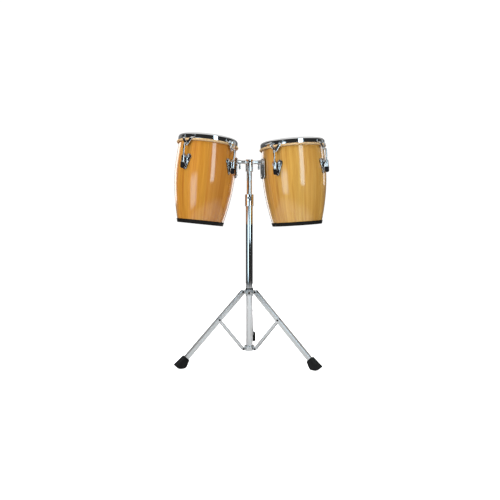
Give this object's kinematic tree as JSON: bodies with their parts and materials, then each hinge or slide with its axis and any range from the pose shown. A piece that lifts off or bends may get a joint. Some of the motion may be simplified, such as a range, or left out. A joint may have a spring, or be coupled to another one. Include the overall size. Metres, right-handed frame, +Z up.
{
  "type": "pair of small conga drums on a folding tripod stand",
  "caption": "Two staved wooden conga drums with chromed hoops and tension hooks, hung from a cross bar on a height-adjustable folding tripod stand.",
  "frame": {"origin": "on the floor, under the middle of the bounding box", "axes": "+Z up; the cross bar runs along X, and the player stands at -Y, so -Y is the front"},
  "size_m": [0.5741, 0.4984, 0.8204],
  "materials": {
    "amber_wood": "clear gloss lacquer over amber stave wood",
    "honey_wood": "clear gloss lacquer over honey stave wood",
    "rawhide": "semi-matte hide",
    "chrome": "polished chrome plate",
    "black_steel": "semi-gloss black enamel",
    "black_rubber": "matte moulded rubber",
    "black_nylon": "satin moulded nylon"
  },
  "bodies": {
    "stand_base": {"base_tube": "chrome", "height_collar": "chrome", "height_bushing": "black_nylon", "lower_hub": "chrome"},
    "height_wing_bolt": {"height_wing_bolt": "chrome"},
    "leg_collar": {"leg_collar": "chrome", "leg_collar_bushing": "black_nylon"},
    "leg_collar_screw": {"leg_collar_screw": "black_steel"},
    "back_leg": {"back_leg": "chrome", "back_foot": "black_rubber"},
    "back_brace": {"back_brace": "chrome"},
    "left_leg": {"left_leg": "chrome", "left_foot": "black_rubber"},
    "left_brace": {"left_brace": "chrome"},
    "right_leg": {"right_leg": "chrome", "right_foot": "black_rubber"},
    "right_brace": {"right_brace": "chrome"},
    "upper_post": {"upper_tube": "chrome"},
    "tee_bar": {"cross_bar": "chrome", "tee_sleeve": "chrome"},
    "left_drum": {"left_shell": "amber_wood", "left_base_band": "black_steel", "left_bracket": "chrome", "left_bracket_pad": "black_rubber", "left_lug_1": "chrome", "left_lug_2": "chrome", "left_lug_3": "chrome", "left_lug_4": "chrome"},
    "left_wing_screw": {"left_wing_screw": "chrome"},
    "left_head": {"left_skin": "rawhide", "left_flesh_hoop": "black_steel", "left_rim": "chrome", "left_hook_1": "chrome", "left_hook_2": "chrome", "left_hook_3": "chrome", "left_hook_4": "chrome"},
    "left_cap_nut_1": {"left_cap_nut_1": "black_nylon"},
    "left_cap_nut_2": {"left_cap_nut_2": "black_nylon"},
    "left_cap_nut_3": {"left_cap_nut_3": "black_nylon"},
    "left_cap_nut_4": {"left_cap_nut_4": "black_nylon"},
    "right_drum": {"right_shell": "honey_wood", "right_base_band": "black_steel", "right_bracket": "chrome", "right_bracket_pad": "black_rubber", "right_lug_1": "chrome", "right_lug_2": "chrome", "right_lug_3": "chrome", "right_lug_4": "chrome"},
    "right_wing_screw": {"right_wing_screw": "chrome"},
    "right_head": {"right_skin": "rawhide", "right_flesh_hoop": "black_steel", "right_rim": "chrome", "right_hook_1": "chrome", "right_hook_2": "chrome", "right_hook_3": "chrome", "right_hook_4": "chrome"},
    "right_cap_nut_1": {"right_cap_nut_1": "black_nylon"},
    "right_cap_nut_2": {"right_cap_nut_2": "black_nylon"},
    "right_cap_nut_3": {"right_cap_nut_3": "black_nylon"},
    "right_cap_nut_4": {"right_cap_nut_4": "black_nylon"}
  },
  "joints": [
    {"name": "height_bolt_turn", "type": "hinge", "parent": "stand_base", "child": "height_wing_bolt", "pos_m": [-0.003, -0.0388, 0.598], "axis": [0, 1, 0], "continuous": true},
    {"name": "tripod_fold", "type": "slide", "parent": "stand_base", "child": "leg_collar", "axis": [0, 0, 1], "range_m": [0, 0.07423]},
    {"name": "leg_collar_screw_turn", "type": "hinge", "parent": "leg_collar", "child": "leg_collar_screw", "pos_m": [-0.003, -0.0388, 0.24825], "axis": [-0.2284, -0.9736, 0], "continuous": true},
    {"name": "back_leg_pivot", "type": "hinge", "parent": "leg_collar", "child": "back_leg", "pos_m": [0.00339, -0.01154, 0.2515], "axis": [-0.9736, 0.2284, 0], "range_deg": [0, 40.61]},
    {"name": "back_brace_pivot", "type": "hinge", "parent": "stand_base", "child": "back_brace", "pos_m": [0.00305, -0.013, 0.039], "axis": [-0.9736, 0.2284, 0], "range_deg": [-34.52, 0]},
    {"name": "left_leg_pivot", "type": "hinge", "parent": "leg_collar", "child": "left_leg", "pos_m": [-0.02981, -0.04689, 0.2515], "axis": [0.289, -0.9573, 0], "range_deg": [0, 40.61]},
    {"name": "left_brace_pivot", "type": "hinge", "parent": "stand_base", "child": "left_brace", "pos_m": [-0.02837, -0.04646, 0.039], "axis": [0.289, -0.9573, 0], "range_deg": [-34.52, 0]},
    {"name": "right_leg_pivot", "type": "hinge", "parent": "leg_collar", "child": "right_leg", "pos_m": [0.01741, -0.05797, 0.2515], "axis": [0.6845, 0.729, 0], "range_deg": [0, 40.61]},
    {"name": "right_brace_pivot", "type": "hinge", "parent": "stand_base", "child": "right_brace", "pos_m": [0.01632, -0.05694, 0.039], "axis": [0.6845, 0.729, 0], "range_deg": [-34.52, 0]},
    {"name": "height_slide", "type": "slide", "parent": "stand_base", "child": "upper_post", "axis": [0, 0, 1], "range_m": [-0.08, 0.2]},
    {"name": "tee_swivel", "type": "hinge", "parent": "upper_post", "child": "tee_bar", "pos_m": [-0.003, -0.0388, 0.729], "axis": [0, 0, 1], "continuous": true},
    {"name": "left_drum_tilt", "type": "hinge", "parent": "tee_bar", "child": "left_drum", "pos_m": [-0.003, -0.0388, 0.729], "axis": [1, 0, 0], "range_deg": [-45, 45]},
    {"name": "left_wing_screw_turn", "type": "hinge", "parent": "left_drum", "child": "left_wing_screw", "pos_m": [-0.0385, -0.0388, 0.717], "axis": [0, 0, 1], "continuous": true},
    {"name": "left_head_tension", "type": "slide", "parent": "left_drum", "child": "left_head", "axis": [0.1028, 0, 0.9947], "range_m": [0, 0.004]},
    {"name": "left_cap_nut_1_turn", "type": "hinge", "parent": "left_drum", "child": "left_cap_nut_1", "pos_m": [-0.07871, 0.04782, 0.68249], "axis": [0.1028, 0, 0.9947], "range_deg": [0, 1441]},
    {"name": "left_cap_nut_2_turn", "type": "hinge", "parent": "left_drum", "child": "left_cap_nut_2", "pos_m": [-0.25103, 0.04782, 0.7003], "axis": [0.1028, 0, 0.9947], "range_deg": [0, 1441]},
    {"name": "left_cap_nut_3_turn", "type": "hinge", "parent": "left_drum", "child": "left_cap_nut_3", "pos_m": [-0.25103, -0.12542, 0.7003], "axis": [0.1028, 0, 0.9947], "range_deg": [0, 1441]},
    {"name": "left_cap_nut_4_turn", "type": "hinge", "parent": "left_drum", "child": "left_cap_nut_4", "pos_m": [-0.07871, -0.12542, 0.68249], "axis": [0.1028, 0, 0.9947], "range_deg": [0, 1441]},
    {"name": "right_drum_tilt", "type": "hinge", "parent": "tee_bar", "child": "right_drum", "pos_m": [-0.003, -0.0388, 0.729], "axis": [1, 0, 0], "range_deg": [-45, 45]},
    {"name": "right_wing_screw_turn", "type": "hinge", "parent": "right_drum", "child": "right_wing_screw", "pos_m": [0.0325, -0.0388, 0.717], "axis": [0, 0, 1], "continuous": true},
    {"name": "right_head_tension", "type": "slide", "parent": "right_drum", "child": "right_head", "axis": [-0.068, 0, 0.9977], "range_m": [0, 0.004]},
    {"name": "right_cap_nut_1_turn", "type": "hinge", "parent": "right_drum", "child": "right_cap_nut_1", "pos_m": [0.26261, 0.05666, 0.69495], "axis": [-0.068, 0, 0.9977], "range_deg": [0, 1441]},
    {"name": "right_cap_nut_2_turn", "type": "hinge", "parent": "right_drum", "child": "right_cap_nut_2", "pos_m": [0.07214, 0.05666, 0.68197], "axis": [-0.068, 0, 0.9977], "range_deg": [0, 1441]},
    {"name": "right_cap_nut_3_turn", "type": "hinge", "parent": "right_drum", "child": "right_cap_nut_3", "pos_m": [0.07214, -0.13426, 0.68197], "axis": [-0.068, 0, 0.9977], "range_deg": [0, 1441]},
    {"name": "right_cap_nut_4_turn", "type": "hinge", "parent": "right_drum", "child": "right_cap_nut_4", "pos_m": [0.26261, -0.13426, 0.69495], "axis": [-0.068, 0, 0.9977], "range_deg": [0, 1441]}
  ],
  "couplings": [
    {"joint": "back_leg_pivot", "follows": "tripod_fold", "rad_per_m": 9.5468},
    {"joint": "back_brace_pivot", "follows": "tripod_fold", "rad_per_m": -8.1138},
    {"joint": "left_leg_pivot", "follows": "tripod_fold", "rad_per_m": 9.5468},
    {"joint": "left_brace_pivot", "follows": "tripod_fold", "rad_per_m": -8.1138},
    {"joint": "right_leg_pivot", "follows": "tripod_fold", "rad_per_m": 9.5468},
    {"joint": "right_brace_pivot", "follows": "tripod_fold", "rad_per_m": -8.1138},
    {"joint": "left_cap_nut_1_turn", "follows": "left_head_tension", "rad_per_m": 6283.2},
    {"joint": "left_cap_nut_2_turn", "follows": "left_head_tension", "rad_per_m": 6283.2},
    {"joint": "left_cap_nut_3_turn", "follows": "left_head_tension", "rad_per_m": 6283.2},
    {"joint": "left_cap_nut_4_turn", "follows": "left_head_tension", "rad_per_m": 6283.2},
    {"joint": "right_cap_nut_1_turn", "follows": "right_head_tension", "rad_per_m": 6283.2},
    {"joint": "right_cap_nut_2_turn", "follows": "right_head_tension", "rad_per_m": 6283.2},
    {"joint": "right_cap_nut_3_turn", "follows": "right_head_tension", "rad_per_m": 6283.2},
    {"joint": "right_cap_nut_4_turn", "follows": "right_head_tension", "rad_per_m": 6283.2}
  ]
}
